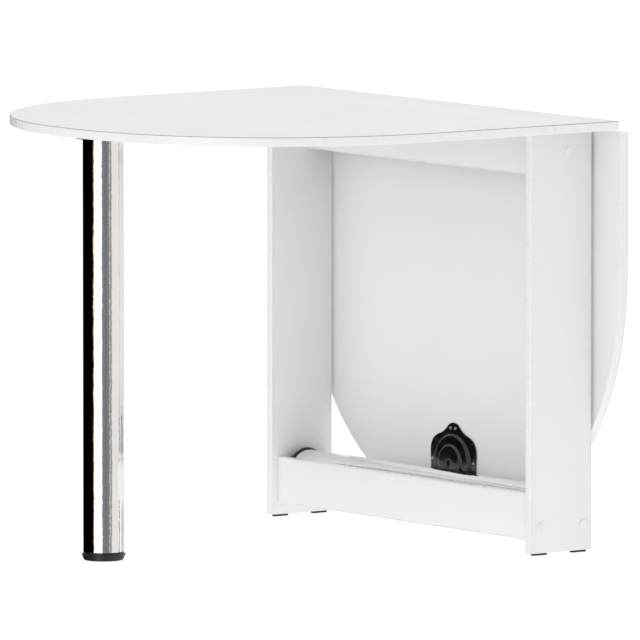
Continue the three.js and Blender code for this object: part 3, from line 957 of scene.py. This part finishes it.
def glide_loop(middle, half, inset, height):
    """A rounded rectangle, drawn in on all sides by nine tenths of the inset."""
    radius = GLIDE_CORNER - inset * 0.9
    loop = []
    for quarter, (sx, sy) in enumerate(((1, 1), (-1, 1), (-1, -1), (1, -1))):
        for step in range(7):
            angle = math.pi / 2 * (quarter + step / 6)
            x = middle.x + sx * (half.x - GLIDE_CORNER) + radius * math.cos(angle)
            y = middle.y + sy * (half.y - GLIDE_CORNER) + radius * math.sin(angle)
            loop.append(Vector((x, y, height)))
    return loop


def build_glides():
    """Nail-on glides: thin moulded strips with soft lower edges."""
    for side in SIDES:
        for end in ("front", "rear"):
            node = f"glide_{side}_{end}"
            lo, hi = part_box(node)
            loops = []
            for inset, height in GLIDE_RIM:
                z = lo.z + min(height * MM, hi.z - lo.z)
                loops.append(glide_loop((lo + hi) / 2, (hi - lo) / 2, inset * MM, z))
            verts, faces = loft(loops)
            make_piece(f"{node}_pad", verts, faces, "black_plastic", "base", [node], sharp=40)


# ---------------------------------------------------------------- the studio

def paint_cad_nodes():
    """The CAD nodes that stay, such as the hinges and hidden screws, get their slot's material."""
    for node in frame["nodes"].values():
        for index, material in enumerate(node.data.materials):
            slot = material.name.split(".")[0] if material else ""
            if slot in MATERIALS:
                node.material_slots[index].material = MATERIALS[slot]


# What glossy surfaces see, as (angle from the camera towards its right, colour). The low stripes are
# for reflections that point downwards, the high ones for those up to the top of the drapes.
BLACK = (0.0, 0.0, 0.0)
DRAPE = (0.02, 0.02, 0.02)
SOFTBOX = (1.5, 1.5, 1.5)
WHITE = (1.0, 1.0, 1.0)
WALL = (0.95, 0.95, 0.95)
GREY_BLUE = (0.20, 0.225, 0.245)
CREAM = (0.82, 0.79, 0.76)
DARK_LINE = (0.1, 0.1, 0.11)
LOW_STRIPES = [
    (-180, BLACK), (-59, BLACK), (-58, (0.5, 0.2, 0.07)), (-53, (0.4, 0.15, 0.05)), (-52, SOFTBOX),
    (-7.5, SOFTBOX), (-6, GREY_BLUE), (8, GREY_BLUE), (12, (0.15, 0.155, 0.155)), (26, (0.22, 0.23, 0.225)),
    (36, (0.2, 0.205, 0.2)), (38, WHITE), (40, (0.24, 0.245, 0.235)), (47, (0.3, 0.31, 0.295)), (52, CREAM),
    (92, CREAM), (95, WHITE), (98, WHITE), (100, DARK_LINE), (104, DARK_LINE), (107, WHITE), (118, WHITE),
    (122, (0.6, 0.61, 0.66)), (180, (0.66, 0.67, 0.7)),
]
HIGH_STRIPES = [
    (-180, WALL), (-158, (0.5, 0.5, 0.5)), (-142, (0.45, 0.45, 0.45)), (-136, DRAPE), (-60, DRAPE),
    (-58, SOFTBOX), (-11, SOFTBOX), (-8, (0.5, 0.51, 0.52)), (46, (0.55, 0.55, 0.55)),
    (52, (0.9, 0.88, 0.86)), (180, WALL),
]
DRAPE_TOP = math.sin(math.radians(34))
OVERHEAD = (0.5, 0.5, 0.5)

# What lights the surfaces: a soft room, brighter at the front left and brightest from below, where
# a white floor would send light up under the table.
FRONT_LEFT = Vector((-0.45, -1, 0)).normalized()
ROOM_FRONT = (1.02, 1.02, 1.01)
ROOM_BEHIND = (0.6, 0.61, 0.63)
ROOM_ABOVE = (1.1, 1.1, 1.1)
ROOM_BELOW = (1.66, 1.66, 1.68)
BACKDROP = (1.08, 1.08, 1.08)
KEY_PLACE = Vector((-1.6, -4.2, 3.0))
KEY_SIZE = 4.0
KEY_POWER = 9.0
FLOOR_REACH = 60.0


class Sky(Paint):
    """The world's node tree, with the same short calls."""

    def __init__(self):
        world = bpy.data.worlds.new("studio")
        bpy.context.scene.world = world
        world.use_nodes = True
        self.tree = world.node_tree
        self.tree.nodes.clear()
        self.place = self.node("ShaderNodeTexCoord").outputs["Generated"]

    def along(self, direction):
        """How far the view points along a direction, from -1 to 1."""
        inputs = {0: self.place, 1: direction}
        return self.node("ShaderNodeVectorMath", inputs, operation="DOT_PRODUCT").outputs["Value"]

    def maths(self, operation, *values):
        return self.node("ShaderNodeMath", dict(enumerate(values)), operation=operation).outputs["Value"]

    def stripes(self, turn, rows):
        """Colours by a turn from 0 to 1, given as rows of (degrees, colour)."""
        ramp = self.node("ShaderNodeValToRGB", {"Fac": turn})
        elements = ramp.color_ramp.elements
        for index, (angle, colour) in enumerate(rows):
            at = (angle + 180) / 360
            element = elements[index] if index < 2 else elements.new(at)
            element.position = at
            element.color = rgb(*colour)
        return ramp.outputs["Color"]


def build_world():
    """A soft room to light the table, drapes and softboxes for it to reflect, and a white backdrop."""
    sky = Sky()
    towards = sky.along(TOWARDS_CAMERA)
    right = sky.along(CAMERA_RIGHT)
    up = sky.along(Vector((0, 0, 1)))
    angle = sky.maths("ARCTAN2", right, towards)
    turn = sky.maths("MULTIPLY_ADD", angle, 1 / (2 * math.pi), 0.5)
    low = sky.stripes(turn, LOW_STRIPES)
    high = sky.stripes(turn, HIGH_STRIPES)
    above = sky.spread(up, 0, 1, -0.01, 0.02)
    overhead = sky.spread(up, 0, 1, DRAPE_TOP - 0.02, DRAPE_TOP + 0.02)
    studio = sky.mixed(overhead, sky.mixed(above, low, high), rgb(*OVERHEAD))

    front = sky.spread(sky.along(FRONT_LEFT), 0, 1, -1, 1)
    level = sky.mixed(front, rgb(*ROOM_BEHIND), rgb(*ROOM_FRONT))
    room = sky.mixed(sky.spread(up, 0, 1, 0, 1), level, rgb(*ROOM_ABOVE))
    room = sky.mixed(sky.spread(up, 0, 1, 0, -1), room, rgb(*ROOM_BELOW))

    path = sky.node("ShaderNodeLightPath")
    lit = sky.mixed(path.outputs["Is Glossy Ray"], room, studio)
    seen = sky.mixed(path.outputs["Is Camera Ray"], lit, rgb(*BACKDROP))
    background = sky.node("ShaderNodeBackground", {"Color": seen, "Strength": 1.0})
    output = sky.node("ShaderNodeOutputWorld")
    sky.tree.links.new(background.outputs["Background"], output.inputs["Surface"])


def build_floor():
    """A wide floor that only the camera sees."""
    verts = [(x * FLOOR_REACH, y * FLOOR_REACH, 0) for x, y in ((-1, -1), (1, -1), (1, 1), (-1, 1))]
    mesh = bpy.data.meshes.new("studio_floor")
    mesh.from_pydata(verts, [], [(0, 1, 2, 3)])
    mesh.materials.append(pale_floor())
    floor = bpy.data.objects.new("studio_floor", mesh)
    bpy.context.scene.collection.objects.link(floor)
    floor.visible_glossy = False
    floor.visible_diffuse = False


def build_light(middle):
    """One very large, weak and soft light, high at the front left."""
    data = bpy.data.lights.new("key", "AREA")
    data.shape = "DISK"
    data.size = KEY_SIZE
    data.energy = KEY_POWER
    light = bpy.data.objects.new("key", data)
    bpy.context.scene.collection.objects.link(light)
    light.location = middle + KEY_PLACE
    light.rotation_euler = (middle - light.location).to_track_quat("-Z", "Y").to_euler()
    light.visible_glossy = False


def build_camera(middle):
    """The photo's viewpoint: far away with a long lens, the table right of the picture's middle."""
    out = TOWARDS_CAMERA * math.cos(CAMERA_ELEVATION) + Vector((0, 0, math.sin(CAMERA_ELEVATION)))
    data = bpy.data.cameras.new("camera")
    data.lens = CAMERA_LENS
    data.sensor_width = 36.0
    data.clip_end = 400.0
    camera = bpy.data.objects.new("camera", data)
    bpy.context.scene.collection.objects.link(camera)
    camera.location = middle + CAMERA_DISTANCE * out
    aim = middle - CAMERA_PAN * CAMERA_RIGHT - Vector((0, 0, CAMERA_DROP))
    camera.rotation_euler = (aim - camera.location).to_track_quat("-Z", "Y").to_euler()
    bpy.context.scene.camera = camera


def base_middle():
    """Middle of the base in plan, at half the table's height."""
    lo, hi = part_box("top_strip")
    return Vector(((lo.x + hi.x) / 2, (lo.y + hi.y) / 2, cad_box[1].z / 2))


bpy.context.scene.view_settings.view_transform = "Standard"
paint_cad_nodes()
build_base_boards()
build_top_strip()
for leaf in LEAVES:
    build_leaf(leaf)
    build_leg_plate(leaf)
for leg in LEGS:
    build_leg(leg)
build_glides()
build_caps()
build_hinge_screws()
build_corner_angles()
build_world()
build_floor()
middle_of_base = base_middle()
build_light(middle_of_base)
build_camera(middle_of_base)
